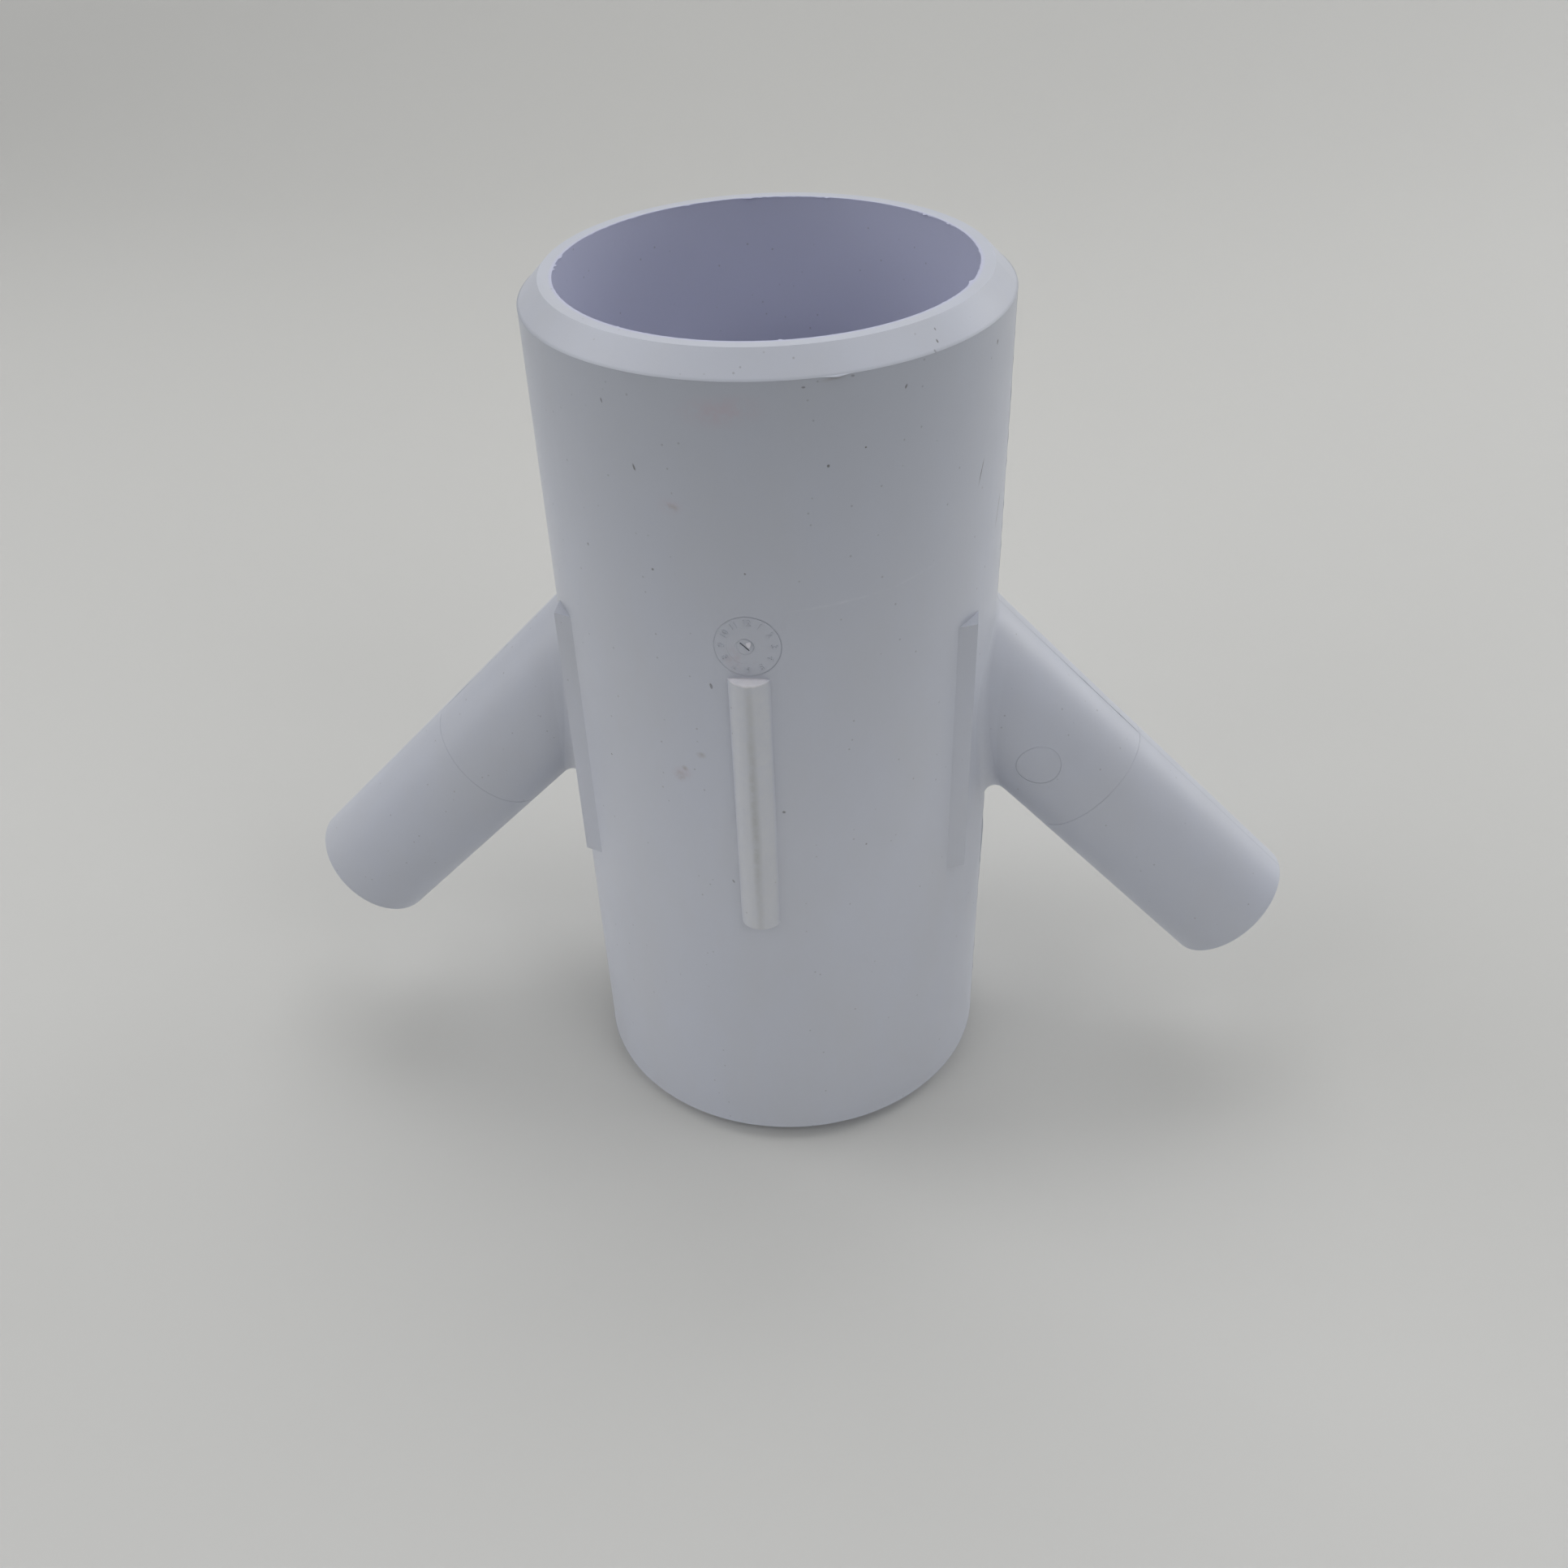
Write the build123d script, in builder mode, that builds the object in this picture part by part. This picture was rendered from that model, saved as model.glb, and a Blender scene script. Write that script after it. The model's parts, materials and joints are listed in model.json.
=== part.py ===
from build123d import *

import os
from math import cos, radians, sin, sqrt, tan

# Lateral wye fitting, injection moulded in rigid PVC as one piece.
#
# A straight main tube stands on its lower end.  Two smaller branches leave it
# on opposite sides and run outward and down at 45 degrees, and their bores open
# into the main bore.  The mould parts on the plane that holds the three axes
# (XZ), so the grip ribs, the date dial and the ejector mark release along Y.
#
# Units are millimetres.  +Z is up and the origin is the centre of the lower end.

os.makedirs("parts", exist_ok=True)

# Main tube
MAIN_OD = 60.3
MAIN_WALL = 4.45
MAIN_HEIGHT = 125.0
END_BEVEL = 2.7

# Branches, measured from the crossing of the branch axes with the main axis
BRANCH_ANGLE = 45.0
BRANCH_OD = 19.65
BRANCH_WALL = 2.6
BRANCH_ROOT_SWELL = 0.17
BRANCH_CROSSING_Z = 95.8
BRANCH_LENGTH = 96.5
BRANCH_EDGE = 0.4
CROTCH_RADIUS = 1.8
INSERT_LINE_AT = 63.2
INSERT_LINE_WIDTH = 0.12
INSERT_LINE_DEPTH = 0.2

# Grip ribs round the tube, every 60 degrees, none on the parting plane
RIB_BOTTOM_Z = 45.3
RIB_TOP_Z = 84.9
RIB_RISE = 1.55
FACE_RIB_WIDTH = 5.3
SIDE_RIB_AZIMUTH = 30.0
SIDE_RIB_SLOPE = 21.5

# Date dial above the front rib
DIAL_Z = 89.5
DIAL_RADIUS = 4.1
DIAL_LINE = 0.15
DIAL_DEPTH = 0.08
HUB_X = -0.3
HUB_RADIUS = 1.07
HUB_SLOT_LENGTH = 1.6
HUB_SLOT_WIDTH = 0.18
HUB_SLOT_DEPTH = 0.35
HUB_SLOT_ANGLE = -44.0

# Ejector mark on the front of the right branch
EJECTOR_AT = 52.4
EJECTOR_RADIUS = 3.1
EJECTOR_LINE = 0.12
EJECTOR_DEPTH = 0.08

main_radius = MAIN_OD / 2
bore_radius = main_radius - MAIN_WALL
branch_radius = BRANCH_OD / 2
branch_bore_radius = branch_radius - BRANCH_WALL
crest_radius = main_radius + RIB_RISE
branch_lean = radians(BRANCH_ANGLE)


def branch_plane(side, distance):
    """Plane across a branch axis, facing outward, at a distance along it."""
    out = Vector(side * sin(branch_lean), 0, -cos(branch_lean))
    start = Vector(0, 0, BRANCH_CROSSING_Z)
    return Plane(origin=start + out * distance, x_dir=(0, 1, 0), z_dir=out)


def branch_section_plane(side):
    """Plane through a branch axis, with its local X along the axis, outward."""
    across = branch_plane(side, 0)
    return Plane(origin=across.origin, x_dir=across.z_dir, z_dir=across.x_dir)


def front_plane(x, z):
    """Plane facing the front that stands clear of the tube, over a point."""
    return Plane(origin=(x, -2 * main_radius, z), x_dir=(1, 0, 0), z_dir=(0, -1, 0))


# The line left by the mould insert is a fine groove round each branch.
groove_start = INSERT_LINE_AT - INSERT_LINE_WIDTH / 2
groove_end = INSERT_LINE_AT + INSERT_LINE_WIDTH / 2
groove_radius = branch_radius - INSERT_LINE_DEPTH

# Front and back ribs have a crowned top, the arc over two feet on the tube.
foot_x = FACE_RIB_WIDTH / 2
foot_y = sqrt(main_radius**2 - foot_x**2)
root_y = main_radius - MAIN_WALL / 2

# Side ribs are wedges.  From the crest one flank runs along the mould's pull
# and the other falls toward the front; both end inside the tube's wall.
crest_x = crest_radius * cos(radians(SIDE_RIB_AZIMUTH))
crest_y = crest_radius * sin(radians(SIDE_RIB_AZIMUTH))
flank_y = sqrt((main_radius - MAIN_WALL / 4) ** 2 - crest_x**2)
slope_x = crest_x - FACE_RIB_WIDTH
slope_y = crest_y + FACE_RIB_WIDTH * tan(radians(SIDE_RIB_SLOPE))

# Fine rings of the date dial and of the hub that turns in it
with BuildPart() as dial_cutter:
    with BuildSketch(front_plane(0, DIAL_Z)):
        Circle(DIAL_RADIUS + DIAL_LINE / 2)
        Circle(DIAL_RADIUS - DIAL_LINE / 2, mode=Mode.SUBTRACT)
    with BuildSketch(front_plane(HUB_X, DIAL_Z)):
        Circle(HUB_RADIUS + DIAL_LINE / 2)
        Circle(HUB_RADIUS - DIAL_LINE / 2, mode=Mode.SUBTRACT)
    extrude(amount=-1.5 * main_radius)
    Cylinder(main_radius - DIAL_DEPTH, DIAL_Z + 2 * DIAL_RADIUS,
             align=(Align.CENTER, Align.CENTER, Align.MIN), mode=Mode.SUBTRACT)

# Slot across the hub, which a blade turns it by
with BuildPart() as slot_cutter:
    with BuildSketch(front_plane(HUB_X, DIAL_Z)):
        SlotOverall(HUB_SLOT_LENGTH, HUB_SLOT_WIDTH, rotation=HUB_SLOT_ANGLE)
    extrude(amount=-1.5 * main_radius)
    Cylinder(main_radius - HUB_SLOT_DEPTH, DIAL_Z + 2 * DIAL_RADIUS,
             align=(Align.CENTER, Align.CENTER, Align.MIN), mode=Mode.SUBTRACT)

# Ring left by the ejector on the front of the right branch
ejector_centre = branch_plane(1, EJECTOR_AT).origin
with BuildPart() as ejector_cutter:
    with BuildSketch(front_plane(ejector_centre.X, ejector_centre.Z)):
        Circle(EJECTOR_RADIUS + EJECTOR_LINE / 2)
        Circle(EJECTOR_RADIUS - EJECTOR_LINE / 2, mode=Mode.SUBTRACT)
    extrude(amount=-2 * main_radius)
    with BuildSketch(branch_plane(1, 0)):
        Circle(branch_radius - EJECTOR_DEPTH)
    extrude(amount=BRANCH_LENGTH, mode=Mode.SUBTRACT)

with BuildPart() as wye_body:
    # Main tube, solid at first
    with BuildSketch(Plane.XY):
        Circle(main_radius)
    extrude(amount=MAIN_HEIGHT)

    # Branches, solid at first: each root tapers to the insert line, and the
    # plain spigot runs from there to a broken edge at the mouth
    for side in (-1, 1):
        with BuildSketch(branch_section_plane(side)):
            with BuildLine():
                Polyline((0, 0), (0, branch_radius + BRANCH_ROOT_SWELL), (groove_start, branch_radius),
                         (groove_start, groove_radius), (groove_end, groove_radius),
                         (groove_end, branch_radius), (BRANCH_LENGTH - BRANCH_EDGE, branch_radius),
                         (BRANCH_LENGTH, branch_radius - BRANCH_EDGE), (BRANCH_LENGTH, 0), close=True)
            make_face()
        across = branch_plane(side, 0)
        revolve(axis=Axis(across.origin, across.z_dir))

    # Crotch fillet where each branch meets the tube
    fillet(wye_body.edges().filter_by(GeomType.BSPLINE), CROTCH_RADIUS)

    # Bevel round both ends of the main tube
    chamfer(wye_body.faces().filter_by(Plane.XY).edges(), END_BEVEL)

    # Ribs
    with BuildSketch(Plane.XY.offset(RIB_BOTTOM_Z)):
        for front in (-1, 1):
            with BuildLine():
                ThreePointArc((-foot_x, front * foot_y), (0, front * crest_radius),
                              (foot_x, front * foot_y))
                Polyline((foot_x, front * foot_y), (foot_x, front * root_y),
                         (-foot_x, front * root_y), (-foot_x, front * foot_y))
            make_face()
            for side in (-1, 1):
                with BuildLine():
                    Polyline((side * crest_x, front * crest_y), (side * crest_x, front * flank_y),
                             (side * slope_x, front * slope_y), close=True)
                make_face()
    extrude(amount=RIB_TOP_Z - RIB_BOTTOM_Z)

    # Main bore and the branch bores that open into it
    with BuildSketch(Plane.XY):
        Circle(bore_radius)
    extrude(amount=MAIN_HEIGHT, mode=Mode.SUBTRACT)
    for side in (-1, 1):
        with BuildSketch(branch_plane(side, 0)):
            Circle(branch_bore_radius)
        extrude(amount=BRANCH_LENGTH, mode=Mode.SUBTRACT)

    # Dial, its slot and the ejector mark
    add(dial_cutter.part, mode=Mode.SUBTRACT)
    add(slot_cutter.part, mode=Mode.SUBTRACT)
    add(ejector_cutter.part, mode=Mode.SUBTRACT)

wye_body.part.label = "wye_body"
export_step(wye_body.part, "parts/wye_body.step")
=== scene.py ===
"""Looks of a moulded PVC lateral wye: its plastic, its moulding marks and a plain studio.

Run as a script it builds everything by calling its own operators in order.
"""
import json
from math import cos, radians, sin, sqrt

import bmesh
import bpy
import numpy as np
from mathutils import Euler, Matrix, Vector


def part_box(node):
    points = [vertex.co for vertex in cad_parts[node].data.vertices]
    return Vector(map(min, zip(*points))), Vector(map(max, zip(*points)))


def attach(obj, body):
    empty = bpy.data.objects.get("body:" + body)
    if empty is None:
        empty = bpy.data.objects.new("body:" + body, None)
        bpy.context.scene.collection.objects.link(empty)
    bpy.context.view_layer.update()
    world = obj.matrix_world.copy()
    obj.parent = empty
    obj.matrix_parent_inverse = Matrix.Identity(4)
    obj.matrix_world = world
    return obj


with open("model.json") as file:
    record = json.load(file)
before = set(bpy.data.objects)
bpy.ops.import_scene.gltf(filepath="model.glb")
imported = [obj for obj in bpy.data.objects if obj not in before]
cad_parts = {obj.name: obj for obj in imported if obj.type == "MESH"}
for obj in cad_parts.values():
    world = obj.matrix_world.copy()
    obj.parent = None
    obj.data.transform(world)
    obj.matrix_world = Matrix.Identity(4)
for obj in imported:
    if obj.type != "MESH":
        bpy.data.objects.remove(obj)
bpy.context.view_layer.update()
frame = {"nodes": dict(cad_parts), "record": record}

bl_info = {
    "name": "Moulded Lateral Wye",
    "version": (1, 0, 0),
    "blender": (4, 5, 0),
    "location": "View3D > Sidebar > Lateral Wye",
    "description": "Finishes a moulded PVC pipe fitting and sets it in a plain studio",
    "category": "Object",
}

MM = 0.001
MOUNTS = {mount["name"]: mount for mount in frame["record"]["mounts"]}

# The main tube, its bore, and the branches, which cross its axis at one height
TUBE_RADIUS = MOUNTS["upper_end"]["dims"]["r_mm"] * MM
BORE_RADIUS = MOUNTS["main_bore"]["dims"]["r_mm"] * MM
TUBE_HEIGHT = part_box("wye_body")[1].z
END_BEVEL = 2.7 * MM
BRANCH_RADIUS = MOUNTS["right_branch_end"]["dims"]["r_mm"] * MM
BRANCH_POINT = Vector(MOUNTS["right_branch_end"]["pos_m"])
BRANCH_AXIS = Vector(MOUNTS["right_branch_end"]["axis"])
BRANCH_CROSSING = BRANCH_POINT - BRANCH_AXIS * (BRANCH_POINT.x / BRANCH_AXIS.x)
CROTCH_RADIUS = 1.8 * MM
INSERT_LINE_AT = 63.2 * MM

# Each part of a level or upright step along a branch, which leans by 45 degrees
SLANT = sqrt(0.5)

# The date dial on the front
DIAL_HEIGHT = 89.5 * MM
DIAL_RADIUS = 4.1 * MM
INNER_RING_X = -0.1 * MM
INNER_RING_RADIUS = 2.45 * MM
HUB_X = -0.3 * MM
HUB_RADIUS = 1.07 * MM
NUMERAL_RADIUS = 0.78 * DIAL_RADIUS

# The ejector's mark on the front of the right branch, whose root swells toward the tube
EJECTOR_AT = 52.4 * MM
EJECTOR_RADIUS = 3.1 * MM
BRANCH_SWELL = 0.17 * MM

# How far the feet of a fin or mark reach under the surface
FOOT_DEPTH = 0.1 * MM

# Lamps: name, place, width and height in metres, and power in watts
LAMPS = (
    ("lamp_over_back", (0.0, 0.4, 0.95), (0.8, 0.4), 2.5),
    ("lamp_over_front", (0.0, -0.6, 0.8), (0.9, 0.5), 1.1),
    ("lamp_over_left", (-0.45, 0.0, 0.9), (0.4, 0.6), 1.2),
    ("lamp_over_right", (0.45, 0.0, 0.9), (0.4, 0.6), 1.6),
    ("lamp_left", (-0.8, 0.0, 0.5), (0.6, 0.6), 2.1),
    ("lamp_right", (0.8, 0.0, 0.5), (0.6, 0.6), 0.3),
    ("lamp_back_right", (0.7, 0.45, 0.35), (0.4, 0.5), 1.7),
    ("lamp_front_left", (-0.55, -0.5, 0.6), (0.4, 0.4), 1.0),
    ("lamp_front_right", (0.55, -0.5, 0.6), (0.4, 0.4), 1.3),
)

# Marks on the tube's outside: degrees round from the front, height, half width
# and half height in millimetres, and tilt in degrees.  Grit and scratches first
SPECKS = (
    (-23.8, 111.3, 0.14, 0.45, 20),
    (19.2, 112.2, 0.18, 0.18, 0),
    (36.9, 119.6, 0.14, 0.30, -25),
    (-21.4, 98.6, 0.16, 0.16, 0),
    (0.5, 99.4, 0.13, 0.13, 0),
    (-8.9, 83.6, 0.18, 0.40, 10),
    (7.2, 64.6, 0.22, 0.20, 0),
    (67.8, 119.7, 0.20, 0.30, -20),
    (-41.3, 98.8, 0.14, 0.20, 0),
    (27.5, 113.7, 0.12, 0.12, 0),
    (-31.0, 118.4, 0.10, 0.30, 15),
    (28.2, 57.2, 0.14, 0.14, 0),
    (63.0, 104.8, 0.11, 1.6, -20),
    (76.0, 96.6, 0.11, 2.2, -22),
    (14.2, 121.5, 0.22, 0.12, 0),
    (24.5, 122.1, 0.22, 0.14, 0),
    (-42.1, 67.3, 0.16, 0.14, 0),
    (47.3, 124.1, 0.12, 0.14, 0),
    (46.2, 123.2, 0.12, 0.16, 0),
    (44.4, 122.5, 0.12, 0.16, 0),
    (-6.5, 52.4, 0.12, 0.30, 30),
)

# Brown smudges of what has rubbed against it
SMUDGES = (
    (-18.7, 68.8, 0.9, 0.8, 20),
    (-17.4, 70.2, 0.5, 0.4, -30),
    (-12.7, 72.8, 0.7, 0.5, 0),
    (-15.3, 107.1, 0.9, 0.5, 0),
    (86.5, 43.4, 1.2, 2.2, 0),
    (20.5, 122.1, 1.5, 0.25, 5),
)

# Pink stains
STAINS = (
    (-3.3, 87.9, 1.2, 1.9, 15),
    (-15.8, 107.2, 1.6, 1.0, 0),
    (-3.0, 119.0, 5.0, 2.0, 5),
    (-18.3, 69.2, 1.7, 1.2, 30),
)

# Pale streaks where the melt flowed past the branches
STREAKS = (
    (21.0, 94.7, 6.0, 0.22, 4),
    (40.0, 95.6, 5.0, 0.18, 9),
)

# On the front rib only: its yellowed face, and the dirt along its crest
RIB_FACE = ((0.0, 65.1, 4.0, 24.0, 0),)
RIB_CREST = ((0.45, 65.1, 0.65, 26.0, 0.15),)

# Painted highlights: pale colour on the top of the front rib and on the dial's arrow head, where light
# catches them
PAINTED_HIGHLIGHTS = (
    (0.0, 85.0, 2.4, 0.2, 0),
    (0.5, 90.0, 0.3, 0.28, 0),
)


def linear(hex_colour):
    """An sRGB hex colour as linear RGBA."""
    values = [int(hex_colour[i : i + 2], 16) / 255 for i in (1, 3, 5)]
    return tuple(v / 12.92 if v <= 0.04045 else ((v + 0.055) / 1.055) ** 2.4 for v in values) + (1.0,)


def fill_inputs(tree, node, inputs):
    """Fill a node's inputs, each by its name, or by its number where names repeat.

    What fills one is a value, a socket, or a node, which stands for its first output in use.
    """
    in_use = {socket.name: socket for socket in node.inputs if socket.enabled}
    for name, value in inputs.items():
        socket = node.inputs[name] if isinstance(name, int) else in_use[name]
        if isinstance(value, bpy.types.Node):
            value = next(output for output in value.outputs if output.enabled)
        if isinstance(value, bpy.types.NodeSocket):
            tree.links.new(value, socket)
        else:
            socket.default_value = value


def add_node(tree, kind, inputs=None, **settings):
    """Add one shader node, set its properties, and fill its inputs."""
    node = tree.nodes.new(kind)
    # Laid out in rows of ten, in the order they are made
    row, column = divmod(len(tree.nodes), 10)
    node.location = (220 * column, -320 * row)
    for name, value in settings.items():
        setattr(node, name, value)
    fill_inputs(tree, node, inputs or {})
    return node


class StudioSettings(bpy.types.PropertyGroup):
    """Camera, paper sweep and backdrop."""

    camera_place: bpy.props.FloatVectorProperty(
        name="Camera place", description="Where the camera stands",
        default=(0.02339, -0.18363, 0.18557), subtype="TRANSLATION", unit="LENGTH")
    camera_yaw: bpy.props.FloatProperty(
        name="Yaw", description="Turn of the camera about the vertical",
        default=radians(8.909), unit="ROTATION")
    camera_pitch: bpy.props.FloatProperty(
        name="Pitch", description="Angle that the camera looks down by",
        default=radians(38.56), unit="ROTATION")
    camera_roll: bpy.props.FloatProperty(
        name="Roll", description="Turn of the camera about its own axis",
        default=radians(-3.08), unit="ROTATION")
    camera_lens: bpy.props.FloatProperty(
        name="Lens", description="Focal length on a 36 mm wide sensor", default=34.886)
    camera_shift: bpy.props.FloatVectorProperty(
        name="Shift", description="Lens shift, in frame widths", size=2, default=(0.0208, 0.0284))
    floor_colour: bpy.props.StringProperty(
        name="Floor colour", description="sRGB hex colour of the paper sweep", default="#c9c9c7")
    bounce_colour: bpy.props.StringProperty(
        name="Bounce colour", description="sRGB hex colour that the paper has for light it throws back",
        default="#e8e8e6")
    backdrop_colour: bpy.props.StringProperty(
        name="Backdrop colour", description="sRGB hex colour of what lies beyond the paper",
        default="#bdbdbb")
    fade_start: bpy.props.FloatProperty(
        name="Fade start", description="Distance at which the paper starts to go over to the backdrop",
        default=0.68, unit="LENGTH")
    fade_end: bpy.props.FloatProperty(
        name="Fade end", description="Distance at which only the backdrop's colour shows",
        default=1.05, unit="LENGTH")
    sweep_start: bpy.props.FloatProperty(
        name="Sweep start", description="How far behind the object the paper starts to rise",
        default=0.45, unit="LENGTH")
    sweep_radius: bpy.props.FloatProperty(
        name="Sweep radius", description="Radius of the rise", default=0.35, unit="LENGTH")
    sweep_reach: bpy.props.FloatProperty(
        name="Sweep reach", description="How far the paper runs to the front and to each side",
        default=3.0, unit="LENGTH")
    sweep_wall: bpy.props.FloatProperty(
        name="Sweep wall", description="Height of the straight wall above the rise",
        default=2.5, unit="LENGTH")


class PlasticSettings(bpy.types.PropertyGroup):
    """Colours of the moulded plastic, of what has soiled it and of the painted light in it, and how far the
    painted shade under the upper bevel goes.
    """

    plastic_colour: bpy.props.StringProperty(
        name="Plastic", description="sRGB hex colour of clean rigid PVC", default="#c1c5d1")
    aged_colour: bpy.props.StringProperty(
        name="Aged plastic", description="sRGB hex colour where the plastic has clouded", default="#c0c3cc")
    # Painted bounce light: the bore's wall is tinted bluer than the plastic, standing in for light bouncing
    # round inside the bore
    bore_colour: bpy.props.StringProperty(
        name="Bore", description="sRGB hex colour of the bore's wall", default="#babdd3")
    speck_colour: bpy.props.StringProperty(
        name="Specks", description="sRGB hex colour of grit and scratches", default="#4c4a48")
    smudge_colour: bpy.props.StringProperty(
        name="Smudges", description="sRGB hex colour of the brown smudges", default="#877b70")
    # Painted shade: this colour is mixed in most just under the upper bevel and thinly on the bevel and
    # branches, standing in for shade; it is also the colour of the dirt along the flash
    film_colour: bpy.props.StringProperty(
        name="Film", description="sRGB hex colour of the film of dust under the upper bevel",
        default="#8d929d")
    film_start: bpy.props.FloatProperty(
        name="Film start", description="Height at which the film begins",
        default=45 * MM, unit="LENGTH")
    film_strength: bpy.props.FloatProperty(
        name="Film strength", description="How much the film covers just under the upper bevel",
        default=0.55)
    film_thin: bpy.props.FloatProperty(
        name="Film elsewhere", description="How much it covers on the bevel and the branches",
        default=0.14)
    stain_colour: bpy.props.StringProperty(
        name="Stains", description="sRGB hex colour of the pink stains", default="#b29099")
    rib_colour: bpy.props.StringProperty(
        name="Rib", description="sRGB hex colour of the yellowed front rib", default="#cbccce")
    crest_colour: bpy.props.StringProperty(
        name="Rib dirt", description="sRGB hex colour of the dirt along the front rib's crest",
        default="#85867e")
    streak_colour: bpy.props.StringProperty(
        name="Flow streaks", description="sRGB hex colour of the pale flow streaks", default="#d4d6dd")
    # Painted highlights: this pale colour on the front rib's top and the dial's arrow head stands in for
    # light catching them
    rubbed_colour: bpy.props.StringProperty(
        name="Rubbed edges", description="sRGB hex colour of edges rubbed pale", default="#e6e3e8")


class MouldingSettings(bpy.types.PropertyGroup):
    """Sizes of the flash, the burrs and the dial's raised marks."""

    parting_rise: bpy.props.FloatProperty(
        name="Parting flash", description="Least height of the flash on the parting line",
        default=0.03 * MM, unit="LENGTH")
    parting_half_width: bpy.props.FloatProperty(
        name="Parting half width", description="Half the width of the flash at its foot",
        default=0.08 * MM, unit="LENGTH")
    burr_rise: bpy.props.FloatProperty(
        name="Edge burr", description="Height of the burr where each bevel starts",
        default=0.03 * MM, unit="LENGTH")
    lip_reach: bpy.props.FloatProperty(
        name="Bore lip", description="Furthest that the ragged lip reaches into the bore",
        default=0.45 * MM, unit="LENGTH")
    edge_curl: bpy.props.FloatProperty(
        name="Edge curl", description="Height of the curl of flash on the upper edge",
        default=0.4 * MM, unit="LENGTH")
    numeral_height: bpy.props.FloatProperty(
        name="Numeral height", description="Height of the dial's numerals",
        default=1.2 * MM, unit="LENGTH")
    numeral_rise: bpy.props.FloatProperty(
        name="Numeral rise", description="How far the numerals stand off the tube",
        default=0.08 * MM, unit="LENGTH")


def sweep_mesh():
    """Paper sweep: a flat floor that turns up through a quarter circle into a wall.

    The profile's height is 0 up to the start, R(1 - cos a) along the arc, then
    straight; it is carried along X unchanged.
    """
    studio = bpy.context.scene.wye_studio
    start, radius, reach = studio.sweep_start, studio.sweep_radius, studio.sweep_reach
    angles = np.linspace(0, np.pi / 2, 33)
    y = np.concatenate(([-reach], start + radius * np.sin(angles), [start + radius]))
    z = np.concatenate(([0.0], radius * (1 - np.cos(angles)), [radius + studio.sweep_wall]))
    x = np.array([-reach, reach])
    grid = np.stack(np.broadcast_arrays(x[None, :], y[:, None], z[:, None]), -1).reshape(-1, 3)
    rows = np.arange(len(y) - 1)[:, None] * 2
    faces = (rows + np.array([[0, 1, 3, 2]])).tolist()
    mesh = bpy.data.meshes.new("paper_sweep")
    mesh.from_pydata(grid.tolist(), [], faces)
    mesh.shade_smooth()
    return mesh


def paper_material():
    """Matt paper: it shows its own grey to the camera and throws light back like clean white paper.

    Far from the lamps, what the camera sees of it goes over to the backdrop's plain grey.
    """
    studio = bpy.context.scene.wye_studio
    material = bpy.data.materials.new("matt_paper")
    material.use_nodes = True
    tree = material.node_tree
    shader = tree.nodes["Principled BSDF"]
    to_camera = add_node(tree, "ShaderNodeLightPath").outputs["Is Camera Ray"]
    colour = add_node(tree, "ShaderNodeMix", data_type="RGBA", inputs={
        "Factor": to_camera, "A": linear(studio.bounce_colour), "B": linear(studio.floor_colour)})
    fill_inputs(tree, shader, {"Base Color": colour, "Roughness": 0.9, "Specular IOR Level": 0.2})

    place = add_node(tree, "ShaderNodeTexCoord").outputs["Object"]
    away = add_node(tree, "ShaderNodeVectorMath", {0: place}, operation="LENGTH")
    far = add_node(tree, "ShaderNodeMapRange", interpolation_type="SMOOTHSTEP", inputs={
        "Value": away, "From Min": studio.fade_start, "From Max": studio.fade_end})
    seen = add_node(tree, "ShaderNodeMath", {0: far, 1: to_camera}, operation="MULTIPLY")
    glow = add_node(tree, "ShaderNodeEmission", {"Color": linear(studio.backdrop_colour)})
    both = add_node(tree, "ShaderNodeMixShader", {0: seen, 1: shader, 2: glow})
    fill_inputs(tree, tree.nodes["Material Output"], {"Surface": both})
    return material


def air_world():
    """Still air behind everything: the backdrop's grey to the camera, and no light of its own."""
    world = bpy.data.worlds.new("studio_air")
    world.use_nodes = True
    tree = world.node_tree
    to_camera = add_node(tree, "ShaderNodeLightPath").outputs["Is Camera Ray"]
    colour = linear(bpy.context.scene.wye_studio.backdrop_colour)
    fill_inputs(tree, tree.nodes["Background"], {"Color": colour, "Strength": to_camera})
    return world


def add_lamp(name, place, target, size, power):
    """A rectangular soft lamp at a place, facing a target."""
    data = bpy.data.lights.new(name, "AREA")
    data.shape = "RECTANGLE"
    data.size, data.size_y = size
    data.energy = power
    lamp = bpy.data.objects.new(name, data)
    lamp.location = place
    lamp.rotation_euler = (Vector(target) - Vector(place)).to_track_quat("-Z", "Y").to_euler()
    bpy.context.scene.collection.objects.link(lamp)


def ragged(count, spacing, seed, closed=False):
    """Smooth noise from 0 to 1: random values every few steps, joined by cosine easing."""
    knots = np.random.default_rng(seed).random(count // spacing + 2)
    if closed:
        knots[-2:] = knots[:2]
    at = np.arange(count) * (len(knots) - 2) / count
    low = at.astype(int)
    ease = (1 - np.cos(np.pi * (at - low))) / 2
    return knots[low] * (1 - ease) + knots[low + 1] * ease


def fin_mesh(name, line, outward, across, rise, half_width, root, closed=False):
    """A fin of triangular section carried along a line on the surface.

    At each point the two feet lie a half width to either side and a root's
    depth under the surface, and the crest stands the rise above it.
    """
    feet = line - root * outward
    crest = line + rise[:, None] * outward
    grid = np.stack((feet - half_width * across, crest, feet + half_width * across), 1)
    count = len(line)
    here = np.arange(count if closed else count - 1)[:, None]
    ahead = (here + 1) % count
    corner = np.arange(3)[None, :]
    turn = (corner + 1) % 3
    quads = np.stack((3 * here + corner, 3 * here + turn, 3 * ahead + turn, 3 * ahead + corner), -1)
    faces = quads.reshape(-1, 4).tolist()
    if not closed:
        faces += [[0, 1, 2], [3 * count - 3, 3 * count - 2, 3 * count - 1]]
    mesh = bpy.data.meshes.new(name)
    mesh.from_pydata(grid.reshape(-1, 3).tolist(), [], faces)
    close_outward(mesh)
    return mesh


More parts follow.
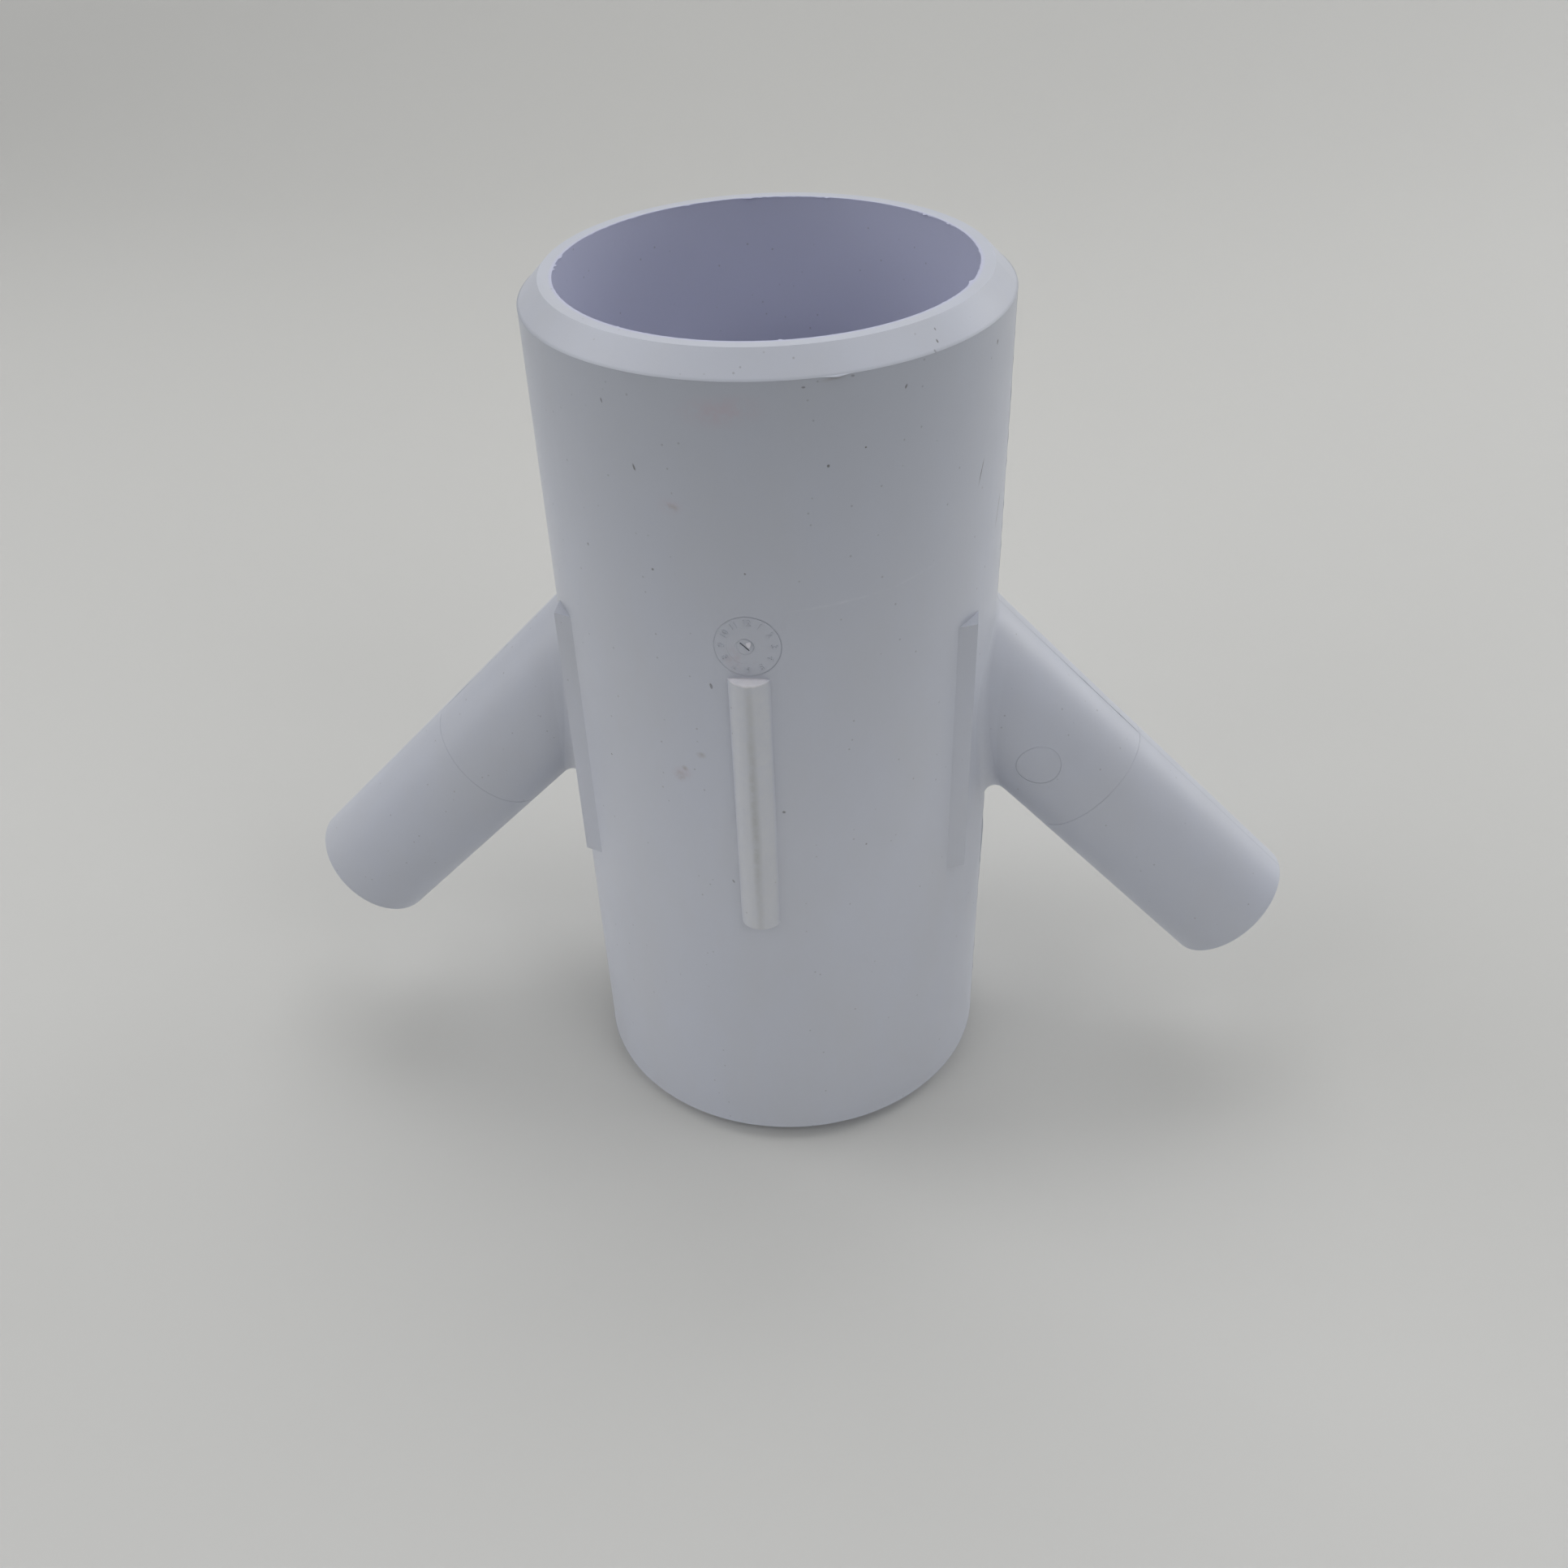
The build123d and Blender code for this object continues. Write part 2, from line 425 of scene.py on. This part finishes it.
def close_outward(mesh):
    """Weld a mesh's seams and make every face point out."""
    shell = bmesh.new()
    shell.from_mesh(mesh)
    bmesh.ops.remove_doubles(shell, verts=shell.verts, dist=0.0002 * MM)
    bmesh.ops.recalc_face_normals(shell, faces=shell.faces)
    shell.to_mesh(mesh)
    shell.free()


def add_piece(name, mesh):
    """Put a piece of the same plastic on the fitting's body."""
    piece = bpy.data.objects.new(name, mesh)
    mesh.materials.append(bpy.data.materials["moulded_pvc"])
    bpy.context.scene.collection.objects.link(piece)
    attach(piece, "root")


def parting_line(side, above):
    """The mould's parting line on one side, below or above the branch.

    It lies in the plane y = 0: straight down or up the tube, round the crotch
    on an arc of the crotch radius, then along the branch to its insert line.
    Returns the points, and at each the direction out of the surface.
    """
    step = 0.3 * MM
    way = 1 if above else -1
    centre_x = TUBE_RADIUS + CROTCH_RADIUS
    reach = (BRANCH_RADIUS + CROTCH_RADIUS) / SLANT
    centre_z = BRANCH_CROSSING.z + way * reach - centre_x
    end_z = TUBE_HEIGHT - END_BEVEL if above else END_BEVEL

    tube_z = np.arange(end_z, centre_z, -way * step)
    tube = np.stack((np.full_like(tube_z, TUBE_RADIUS), tube_z), 1)
    tube_out = np.broadcast_to((1.0, 0.0), tube.shape)

    angles = np.radians(np.linspace(180, 225 if above else 45, 12))
    toward = np.stack((np.cos(angles), np.sin(angles)), 1)
    arc = np.array([centre_x, centre_z]) + CROTCH_RADIUS * toward

    branch_out = way * np.array([SLANT, SLANT])
    foot = (arc[-1] - (0, BRANCH_CROSSING.z)) @ (SLANT, -SLANT)
    along = np.arange(foot + step, INSERT_LINE_AT, step)[:, None]
    branch = (0, BRANCH_CROSSING.z) + along * (SLANT, -SLANT) + BRANCH_RADIUS * branch_out

    flat = np.concatenate((tube, arc, branch))
    out = np.concatenate((tube_out, -toward, np.broadcast_to(branch_out, branch.shape)))
    points = np.stack((side * flat[:, 0], np.zeros(len(flat)), flat[:, 1]), 1)
    outward = np.stack((side * out[:, 0], np.zeros(len(flat)), out[:, 1]), 1)
    return points, outward


def ring(radius, height, count):
    """Points round a level circle, with the directions away from its axis."""
    turn = np.arange(count) * 2 * np.pi / count
    away = np.stack((np.cos(turn), np.sin(turn), np.zeros(count)), 1)
    return away * radius + (0, 0, height), away


def on_dial(points):
    """Wrap flat points onto the tube's front: x stays, y goes up from the dial's centre, z stands off."""
    x, y, z = points.T
    depth = np.sqrt(TUBE_RADIUS**2 - x**2)
    return np.stack((x, -depth - z, DIAL_HEIGHT + y), 1)


def numerals_mesh(context):
    """The numerals 1 to 12 round the dial, each with its top outward, as one mesh."""
    moulding = context.scene.wye_moulding
    points, faces, first = [], [], 0
    for number in range(1, 13):
        curve = bpy.data.curves.new("numeral", "FONT")
        curve.body = str(number)
        curve.size = moulding.numeral_height
        curve.align_x, curve.align_y = "CENTER", "CENTER"
        curve.extrude = moulding.numeral_rise
        curve.resolution_u = 3
        text = bpy.data.objects.new("numeral", curve)
        context.scene.collection.objects.link(text)
        flat = bpy.data.meshes.new_from_object(text.evaluated_get(context.evaluated_depsgraph_get()))
        local = np.empty(len(flat.vertices) * 3)
        flat.vertices.foreach_get("co", local)
        turn = -radians(30 * number)
        local = local.reshape(-1, 3) + (0, NUMERAL_RADIUS, 0)
        x = local[:, 0] * cos(turn) - local[:, 1] * sin(turn)
        y = local[:, 0] * sin(turn) + local[:, 1] * cos(turn)
        points.append(on_dial(np.stack((x, y, local[:, 2]), 1)))
        faces += [[first + corner for corner in face.vertices] for face in flat.polygons]
        first += len(local)
        bpy.data.objects.remove(text)
        bpy.data.curves.remove(curve)
        bpy.data.meshes.remove(flat)
    mesh = bpy.data.meshes.new("dial_numerals")
    mesh.from_pydata(np.concatenate(points).tolist(), [], faces)
    close_outward(mesh)
    return mesh


def arrow_mesh():
    """The dial's arrow head: a triangle nearly flush along its upper edge and raised at its point."""
    outline = np.array([(-0.32, 0.58), (0.51, 0.69), (0.34, -0.12)]) * MM
    rise = np.array([0.02, 0.02, 0.55]) * MM
    top = np.column_stack((outline, rise))
    base = np.column_stack((outline, np.full(3, -FOOT_DEPTH)))
    faces = [[0, 2, 1], [3, 4, 5], [0, 1, 4, 3], [1, 2, 5, 4], [2, 0, 3, 5]]
    mesh = bpy.data.meshes.new("dial_arrow")
    mesh.from_pydata(on_dial(np.concatenate((top, base))).tolist(), [], faces)
    close_outward(mesh)
    return mesh


def on_branch(points):
    """Wrap flat points onto the right branch's front: x and y run level and up from the ejector mark."""
    x, y, z = points.T
    centre = np.array(BRANCH_CROSSING) + np.array([1.0, 0.0, -1.0]) * SLANT * EJECTOR_AT
    off_axis = (x + y) * SLANT
    along = EJECTOR_AT + (x - y) * SLANT
    radius = BRANCH_RADIUS + BRANCH_SWELL * (1 - along / INSERT_LINE_AT)
    depth = np.sqrt(radius**2 - off_axis**2)
    return np.stack((centre[0] + x, -depth - z, centre[2] + y), 1)


def mark_ring_mesh(name, wrap, centre_x, radius, low, high, toward):
    """A fine bead over a ring mark: raised where it faces one way, sunk where it faces the other.

    The crest's height goes from low to high as the cosine of the turn from the
    given direction, and the wrap carries the flat ring onto the wall.
    """
    count = 120
    half_width = 0.16 * MM
    turn = np.arange(count) * 2 * np.pi / count
    across = np.stack((np.cos(turn), np.sin(turn), np.zeros(count)), 1)
    flat = across * radius + (centre_x, 0, 0)
    line = wrap(flat)
    outward = (wrap(flat + (0, 0, MM)) - line) / MM
    side = wrap(flat + across * 0.1 * MM) - line
    side /= np.linalg.norm(side, axis=1)[:, None]
    crest = low + (high - low) * (0.5 + 0.5 * np.cos(turn - radians(toward)))
    return fin_mesh(name, line, outward, side, crest, half_width, FOOT_DEPTH, closed=True)


def witness_mesh(name, side):
    """What fills the fine groove of the branch insert: flush on top, fading to open underneath.

    Its depth grows with the cosine of the turn from straight down, once that is
    past a quarter, and is next to nothing everywhere else.
    """
    count = 240
    least_depth, open_depth, opens_past = 0.004 * MM, 0.1 * MM, 0.25
    half_width, root = 0.25 * MM, 0.16 * MM
    turn = np.arange(count) * 2 * np.pi / count
    axis = np.array([side, 0.0, -1.0]) * SLANT
    up = np.array([side, 0.0, 1.0]) * SLANT
    away = np.sin(turn)[:, None] * np.array([0.0, 1.0, 0.0]) + np.cos(turn)[:, None] * up
    line = np.array(BRANCH_CROSSING) + axis * INSERT_LINE_AT + away * BRANCH_RADIUS
    depth = open_depth * np.clip(-np.cos(turn) - opens_past, 0, 1) + least_depth
    level = np.broadcast_to(axis, line.shape)
    return fin_mesh(name, line, away, level, -depth, half_width, root, closed=True)


def wall_places(tree):
    """Where a point lies on the fitting, as nodes and sockets by name.

    The place, its side and height, its distance from the main axis, and the skin,
    which is the outside unrolled flat: arc length and height, with frayed edges.
    The rest are 1 where their names say, and 0 elsewhere.
    """
    place = add_node(tree, "ShaderNodeTexCoord").outputs["Object"]
    x, y, height = add_node(tree, "ShaderNodeSeparateXYZ", {0: place}).outputs
    level = add_node(tree, "ShaderNodeVectorMath", {0: place, 1: (1, 1, 0)}, operation="MULTIPLY")
    distance = add_node(tree, "ShaderNodeVectorMath", {0: level}, operation="LENGTH")

    front = add_node(tree, "ShaderNodeMath", {0: y, 1: -1.0}, operation="MULTIPLY")
    angle = add_node(tree, "ShaderNodeMath", {0: x, 1: front}, operation="ARCTAN2")
    arc = add_node(tree, "ShaderNodeMath", {0: angle, 1: TUBE_RADIUS}, operation="MULTIPLY")
    unrolled = add_node(tree, "ShaderNodeCombineXYZ", {"X": arc, "Y": height})
    fray = 0.2 * MM
    frayed = add_node(tree, "ShaderNodeTexNoise", {"Vector": place, "Scale": 1 / (0.8 * MM), "Detail": 3.0})
    skin = add_node(tree, "ShaderNodeVectorMath", operation="MULTIPLY_ADD",
                    inputs={0: frayed.outputs["Color"], 1: (fray, fray, 0), 2: unrolled})

    # Ramps of the distance: name, where each starts and ends, and its values there
    ramps = (
        ("past_bore", BORE_RADIUS + 0.1 * MM, BORE_RADIUS + 0.5 * MM, 0.0, 1.0),
        ("past_rim", TUBE_RADIUS - 0.3 * MM, TUBE_RADIUS - 0.1 * MM, 0.0, 1.0),
        ("risen", TUBE_RADIUS + 0.1 * MM, TUBE_RADIUS + 0.5 * MM, 0.0, 1.0),
        ("on_tube", TUBE_RADIUS + 2.2 * MM, TUBE_RADIUS + 2.6 * MM, 1.0, 0.0),
    )
    at = {"place": place, "side": y, "height": height, "skin": skin}
    for name, low, high, start, end in ramps:
        at[name] = add_node(tree, "ShaderNodeMapRange", {
            "Value": distance, "From Min": low, "From Max": high, "To Min": start, "To Max": end})
    for name, part in (("outside", "past_bore"), ("on_rib", "risen")):
        at[name] = add_node(tree, "ShaderNodeMath", {0: at[part], 1: at["on_tube"]}, operation="MULTIPLY")
    return at


def plastic_colour(tree, at):
    """Bare plastic: slow clouds where the melt cooled unevenly, drawn out along the tube, and in the bore a
    painted bluer tint that stands in for light bouncing round inside it.
    """
    plastic = bpy.context.scene.wye_plastic
    drawn = add_node(tree, "ShaderNodeMapping", {"Vector": at["place"], "Scale": (1, 1, 0.45)})
    clouds = add_node(tree, "ShaderNodeTexNoise", {
        "Vector": drawn, "Scale": 1 / (14 * MM), "Detail": 5.0, "Roughness": 0.6})
    cloudy = add_node(tree, "ShaderNodeMapRange", {"Value": clouds, "From Min": 0.35, "From Max": 0.7})
    outer = add_node(tree, "ShaderNodeMix", data_type="RGBA", inputs={
        "Factor": cloudy, "A": linear(plastic.plastic_colour), "B": linear(plastic.aged_colour)})
    return add_node(tree, "ShaderNodeMix", data_type="RGBA", inputs={
        "Factor": at["past_bore"], "A": linear(plastic.bore_colour), "B": outer})


def film_amount(tree, at):
    """Painted shade, thicker up the wall as far as the upper bevel: a darkening that stands in for the
    shade there.

    It grows as the power 1.5 of the height above its start, drops on the bevel,
    and lies thin and even on the branches.
    """
    plastic = bpy.context.scene.wye_plastic
    bevel_foot = TUBE_HEIGHT - END_BEVEL
    climb = add_node(tree, "ShaderNodeMapRange", {
        "Value": at["height"], "From Min": plastic.film_start, "From Max": bevel_foot})
    growth = add_node(tree, "ShaderNodeMath", {0: climb, 1: 1.5}, operation="POWER")
    strength = add_node(tree, "ShaderNodeMapRange", {
        "Value": at["height"], "From Min": bevel_foot, "From Max": bevel_foot + 0.1 * END_BEVEL,
        "To Min": plastic.film_strength, "To Max": plastic.film_thin})
    shade = add_node(tree, "ShaderNodeMath", {0: growth, 1: strength}, operation="MULTIPLY")
    shade = add_node(tree, "ShaderNodeMath", {0: shade, 1: at["outside"]}, operation="MULTIPLY")
    off_tube = add_node(tree, "ShaderNodeMath", {0: 1.0, 1: at["on_tube"]}, operation="SUBTRACT")
    return add_node(tree, "ShaderNodeMath", {0: off_tube, 1: plastic.film_thin, 2: shade},
                    operation="MULTIPLY_ADD")


def mark_mask(tree, skin, marks, edge):
    """1 inside any of the marks, falling to 0 past their rims: each is an ellipse on the unrolled tube.

    Distances are in half widths and half heights: a mark is whole out to the edge and gone at 1.3.
    """
    rim = 1.3
    mask = None
    for around, height, half_width, half_height, tilt in marks:
        centre = (TUBE_RADIUS * radians(around), height * MM, 0)
        shape = add_node(tree, "ShaderNodeMapping", vector_type="TEXTURE", inputs={
            "Vector": skin, "Location": centre, "Rotation": (0, 0, radians(tilt)),
            "Scale": (half_width * MM, half_height * MM, 1)})
        reach = add_node(tree, "ShaderNodeVectorMath", {0: shape}, operation="LENGTH")
        soft = add_node(tree, "ShaderNodeMapRange", interpolation_type="SMOOTHSTEP", inputs={
            "Value": reach, "From Min": edge, "From Max": rim, "To Min": 1.0, "To Max": 0.0})
        if mask:
            soft = add_node(tree, "ShaderNodeMath", {0: mask, 1: soft}, operation="MAXIMUM")
        mask = soft
    return mask


def soil_amounts(tree, at):
    """What soils it, and the painted highlights, as pairs of an amount and a colour.

    An amount is the mask of some marks, times where they lie, times a patchy
    noise that goes from weak, where they have worn off, to strong.
    """
    plastic = bpy.context.scene.wye_plastic

    # Each layer: marks, where they lie, colour, weak and strong, and how far out a mark is whole
    layers = (
        (RIB_FACE, "on_rib", plastic.rib_colour, (0.3, 0.5), 0.8),
        (STREAKS, "outside", plastic.streak_colour, (0.0, 0.22), 0.0),
        (STAINS, "outside", plastic.stain_colour, (0.0, 0.25), 0.0),
        (SMUDGES, "outside", plastic.smudge_colour, (0.0, 0.4), 0.1),
        (RIB_CREST, "on_rib", plastic.crest_colour, (0.22, 0.4), 0.0),
        # Painted highlights on the front rib's top and the dial's arrow head
        (PAINTED_HIGHLIGHTS, "outside", plastic.rubbed_colour, (0.5, 0.7), 0.7),
        (SPECKS, "outside", plastic.speck_colour, (0.4, 0.85), 0.6),
    )
    patchy = add_node(tree, "ShaderNodeTexNoise", {
        "Vector": at["place"], "Scale": 1 / (1.6 * MM), "Detail": 4.0, "Roughness": 0.7})
    amounts = []
    for marks, where, hex_colour, (weak, strong), edge in layers:
        mask = mark_mask(tree, at["skin"], marks, edge)
        here = add_node(tree, "ShaderNodeMath", {0: mask, 1: at[where]}, operation="MULTIPLY")
        worn = add_node(tree, "ShaderNodeMapRange", {
            "Value": patchy, "From Min": 0.35, "From Max": 0.6, "To Min": weak, "To Max": strong})
        amount = add_node(tree, "ShaderNodeMath", {0: here, 1: worn}, operation="MULTIPLY")
        amounts.append((amount, hex_colour))
    return amounts


def grit_amount(tree, at):
    """Fine grit: cells of 1.6 mm, and a grain 0.1 to 0.2 mm in radius in those with a light random grey."""
    strength, least_grey = 0.32, 0.62
    cells = add_node(tree, "ShaderNodeTexVoronoi", {"Vector": at["place"], "Scale": 1 / (1.6 * MM)})
    grain = add_node(tree, "ShaderNodeMapRange", {
        "Value": cells, "From Min": 0.05, "From Max": 0.11, "To Min": strength, "To Max": 0.0})
    chosen = add_node(tree, "ShaderNodeMath", {0: cells.outputs["Color"], 1: least_grey},
                      operation="GREATER_THAN")
    return add_node(tree, "ShaderNodeMath", {0: grain, 1: chosen}, operation="MULTIPLY")


def seam_amount(tree, at):
    """Dirt caught against the flash: it lies on the outside, close to the plane y = 0."""
    strength = 0.2
    aside = add_node(tree, "ShaderNodeMath", {0: at["side"]}, operation="ABSOLUTE")
    near = add_node(tree, "ShaderNodeMapRange", {
        "Value": aside, "From Min": 0.12 * MM, "From Max": 0.3 * MM, "To Min": strength, "To Max": 0.0})
    return add_node(tree, "ShaderNodeMath", {0: near, 1: at["past_rim"]}, operation="MULTIPLY")


def wall_relief(tree, at):
    """Slow waves in the wall, and the tool's grain, drawn coarser than its 0.1 mm so that it shows."""
    relief = None
    for size, detail, depth in ((6 * MM, 1.0, 0.06 * MM), (0.3 * MM, 2.0, 0.008 * MM)):
        noise = add_node(tree, "ShaderNodeTexNoise", {
            "Vector": at["place"], "Scale": 1 / size, "Detail": detail})
        inputs = {"Height": noise, "Strength": 1.0, "Distance": depth}
        if relief:
            inputs["Normal"] = relief
        relief = add_node(tree, "ShaderNodeBump", inputs)
    return relief


def pvc_material():
    """Rigid PVC, injection moulded in a polished tool: satin, pale blue-grey, faintly clouded.

    The melt's flow leaves it slightly uneven in tone, the tool's wall gives it
    a fine grain and slow waves, and use has left specks, smudges and a line
    of dirt along the front rib; its colour also holds painted shade, painted highlights and a painted
    bounce tint in the bore.
    """
    plastic = bpy.context.scene.wye_plastic
    material = bpy.data.materials.new("moulded_pvc")
    material.use_nodes = True
    tree = material.node_tree

    # The bare plastic, and what lies on it, from the oldest to the newest; the first layer is painted
    # shade, and among the marks are painted highlights
    at = wall_places(tree)
    colour = plastic_colour(tree, at)
    amounts = [(film_amount(tree, at), plastic.film_colour)]
    amounts += soil_amounts(tree, at)
    amounts += [(grit_amount(tree, at), plastic.speck_colour), (seam_amount(tree, at), plastic.film_colour)]
    for amount, hex_colour in amounts:
        colour = add_node(tree, "ShaderNodeMix", data_type="RGBA", inputs={
            "Factor": amount, "A": colour, "B": linear(hex_colour)})

    # Satin, a little glossier and duller in patches
    gloss = add_node(tree, "ShaderNodeTexNoise", {
        "Vector": at["place"], "Scale": 1 / (7 * MM), "Detail": 3.0})
    rough = add_node(tree, "ShaderNodeMapRange", {"Value": gloss, "To Min": 0.36, "To Max": 0.5})
    fill_inputs(tree, tree.nodes["Principled BSDF"], {
        "Base Color": colour, "Roughness": rough, "IOR": 1.53, "Normal": wall_relief(tree, at)})
    return material


class WYE_OT_studio(bpy.types.Operator):
    """Make the paper sweep, the lamps and the camera"""

    bl_idname = "wye.studio"
    bl_label = "Studio"

    def execute(self, context):
        scene, studio = context.scene, context.scene.wye_studio
        sweep = bpy.data.objects.new("paper_sweep", sweep_mesh())
        sweep.data.materials.append(paper_material())
        scene.collection.objects.link(sweep)

        for name, place, size, power in LAMPS:
            add_lamp(name, place, (0, 0, TUBE_HEIGHT / 2), size, power)

        scene.world = air_world()

        camera = bpy.data.objects.new("camera", bpy.data.cameras.new("camera"))
        camera.data.sensor_width = 36
        camera.data.lens = studio.camera_lens
        camera.data.shift_x, camera.data.shift_y = studio.camera_shift
        camera.data.clip_start = 0.005
        turn = Euler((radians(90) - studio.camera_pitch, 0, studio.camera_yaw)).to_matrix()
        roll = Euler((0, 0, studio.camera_roll)).to_matrix()
        camera.location = studio.camera_place
        camera.rotation_euler = (turn @ roll).to_euler()
        scene.collection.objects.link(camera)
        scene.camera = camera
        scene.view_settings.view_transform = "Standard"
        return {"FINISHED"}


class WYE_OT_plastic(bpy.types.Operator):
    """Give the fitting its moulded plastic"""

    bl_idname = "wye.plastic"
    bl_label = "Moulded plastic"

    def execute(self, context):
        body = frame["nodes"]["wye_body"]
        material = pvc_material()
        for material_slot in body.material_slots:
            material_slot.material = material
        return {"FINISHED"}


class WYE_OT_parting_flash(bpy.types.Operator):
    """Run the thin flash of the mould's parting line up both sides and along the branches"""

    bl_idname = "wye.parting_flash"
    bl_label = "Parting flash"

    def execute(self, context):
        moulding = context.scene.wye_moulding
        # The halves closed worst on the right, a little under the crotch
        worst_height, worst_spread, worst_rise = 37 * MM, 6 * MM, 0.2 * MM
        for side, side_name in ((-1, "left"), (1, "right")):
            for above, level_name in ((False, "lower"), (True, "upper")):
                name = f"parting_flash_{side_name}_{level_name}"
                line, outward = parting_line(side, above)
                count = len(line)
                noise = ragged(count, 5, 10 + side + 4 * above)
                rise = moulding.parting_rise * (1 + 2 * noise**3)
                if side > 0 and not above:
                    swell = np.exp(-(((line[:, 2] - worst_height) / worst_spread) ** 2))
                    rise = rise + worst_rise * swell * ragged(count, 8, 3)
                steps_to_end = np.minimum(np.arange(count), np.arange(count)[::-1])
                rise = rise * np.clip(steps_to_end / 10, 0, 1)
                across = np.broadcast_to((0.0, 1.0, 0.0), line.shape)
                mesh = fin_mesh(name, line, outward, across, rise,
                                moulding.parting_half_width, FOOT_DEPTH)
                add_piece(name, mesh)
        return {"FINISHED"}


class WYE_OT_end_burrs(bpy.types.Operator):
    """Leave a fine burr where each bevel starts, and a ragged lip round the bore's mouth"""

    bl_idname = "wye.end_burrs"
    bl_label = "End burrs"

    def execute(self, context):
        moulding = context.scene.wye_moulding
        count = 1080
        degrees = np.arange(count) * 360 / count
        # A curl of flash hangs on the upper edge: front right, degrees round from +X
        curl_at, curl_spread = 291, 1.8
        burr_half_width, burr_root = 0.06 * MM, 0.04 * MM
        level = np.broadcast_to((0.0, 0.0, 1.0), (count, 3))

        for name, height, seed in (("edge_burr_lower", END_BEVEL, 21),
                                   ("edge_burr_upper", TUBE_HEIGHT - END_BEVEL, 22)):
            line, away = ring(TUBE_RADIUS, height, count)
            rise = moulding.burr_rise * (0.6 + 0.8 * ragged(count, 9, seed, closed=True))
            if height > TUBE_HEIGHT / 2:
                rise = rise + moulding.edge_curl * np.exp(-(((degrees - curl_at) / curl_spread) ** 2))
            mesh = fin_mesh(name, line, away, level, rise, burr_half_width, burr_root, closed=True)
            add_piece(name, mesh)

        # The lip: a fin 0.1 mm thick that hangs just under the rim and reaches inward
        lip_drop, lip_half_width, lip_root = 0.06 * MM, 0.05 * MM, 0.05 * MM
        line, away = ring(BORE_RADIUS, TUBE_HEIGHT - lip_drop, count)
        spread = ragged(count, 12, 31, closed=True) ** 3
        teeth = ragged(count, 3, 32, closed=True) ** 2
        reach = moulding.lip_reach * (0.06 + spread * teeth)
        mesh = fin_mesh("bore_lip", line, -away, level, reach, lip_half_width, lip_root, closed=True)
        add_piece("bore_lip", mesh)
        return {"FINISHED"}


class WYE_OT_dial_marks(bpy.types.Operator):
    """Raise the numerals, the arrow head and the rings of the date dial, and the ejector's ring"""

    bl_idname = "wye.dial_marks"
    bl_label = "Dial marks"

    def execute(self, context):
        add_piece("dial_numerals", numerals_mesh(context))
        add_piece("dial_arrow", arrow_mesh())
        # Each ring: name, wall, centre, radius, least and greatest rise, and the way it is raised
        rings = (
            ("dial_rim", on_dial, 0.0, DIAL_RADIUS, -0.06 * MM, 0.05 * MM, 200),
            ("dial_inner_ring", on_dial, INNER_RING_X, INNER_RING_RADIUS, -0.05 * MM, 0.03 * MM, 230),
            ("dial_hub_rim", on_dial, HUB_X, HUB_RADIUS, -0.02 * MM, 0.08 * MM, 215),
            ("ejector_rim", on_branch, 0.0, EJECTOR_RADIUS, -0.06 * MM, 0.015 * MM, 45),
        )
        for name, wrap, centre_x, radius, low, high, toward in rings:
            add_piece(name, mark_ring_mesh(name, wrap, centre_x, radius, low, high, toward))
        return {"FINISHED"}


class WYE_OT_witness_lines(bpy.types.Operator):
    """Fill the line round each branch where the mould's insert met it"""

    bl_idname = "wye.witness_lines"
    bl_label = "Witness lines"

    def execute(self, context):
        for side, side_name in ((-1, "left"), (1, "right")):
            name = f"witness_line_{side_name}"
            add_piece(name, witness_mesh(name, side))
        return {"FINISHED"}


OPERATORS = (WYE_OT_studio, WYE_OT_plastic, WYE_OT_parting_flash, WYE_OT_witness_lines,
             WYE_OT_end_burrs, WYE_OT_dial_marks)


class WYE_PT_panel(bpy.types.Panel):
    """Lists the operators in the order they run"""

    bl_idname = "WYE_PT_panel"
    bl_label = "Lateral Wye"
    bl_space_type = "VIEW_3D"
    bl_region_type = "UI"
    bl_category = "Lateral Wye"

    def draw(self, context):
        for operator in OPERATORS:
            self.layout.operator(operator.bl_idname)


CLASSES = (StudioSettings, PlasticSettings, MouldingSettings) + OPERATORS + (WYE_PT_panel,)


def register():
    for cls in CLASSES:
        bpy.utils.register_class(cls)
    bpy.types.Scene.wye_studio = bpy.props.PointerProperty(type=StudioSettings)
    bpy.types.Scene.wye_plastic = bpy.props.PointerProperty(type=PlasticSettings)
    bpy.types.Scene.wye_moulding = bpy.props.PointerProperty(type=MouldingSettings)


def unregister():
    del bpy.types.Scene.wye_moulding
    del bpy.types.Scene.wye_plastic
    del bpy.types.Scene.wye_studio
    for cls in reversed(CLASSES):
        bpy.utils.unregister_class(cls)


def main():
    register()
    bpy.ops.wye.studio()
    bpy.ops.wye.plastic()
    bpy.ops.wye.parting_flash()
    bpy.ops.wye.witness_lines()
    bpy.ops.wye.end_burrs()
    bpy.ops.wye.dial_marks()


if __name__ == "__main__":
    main()
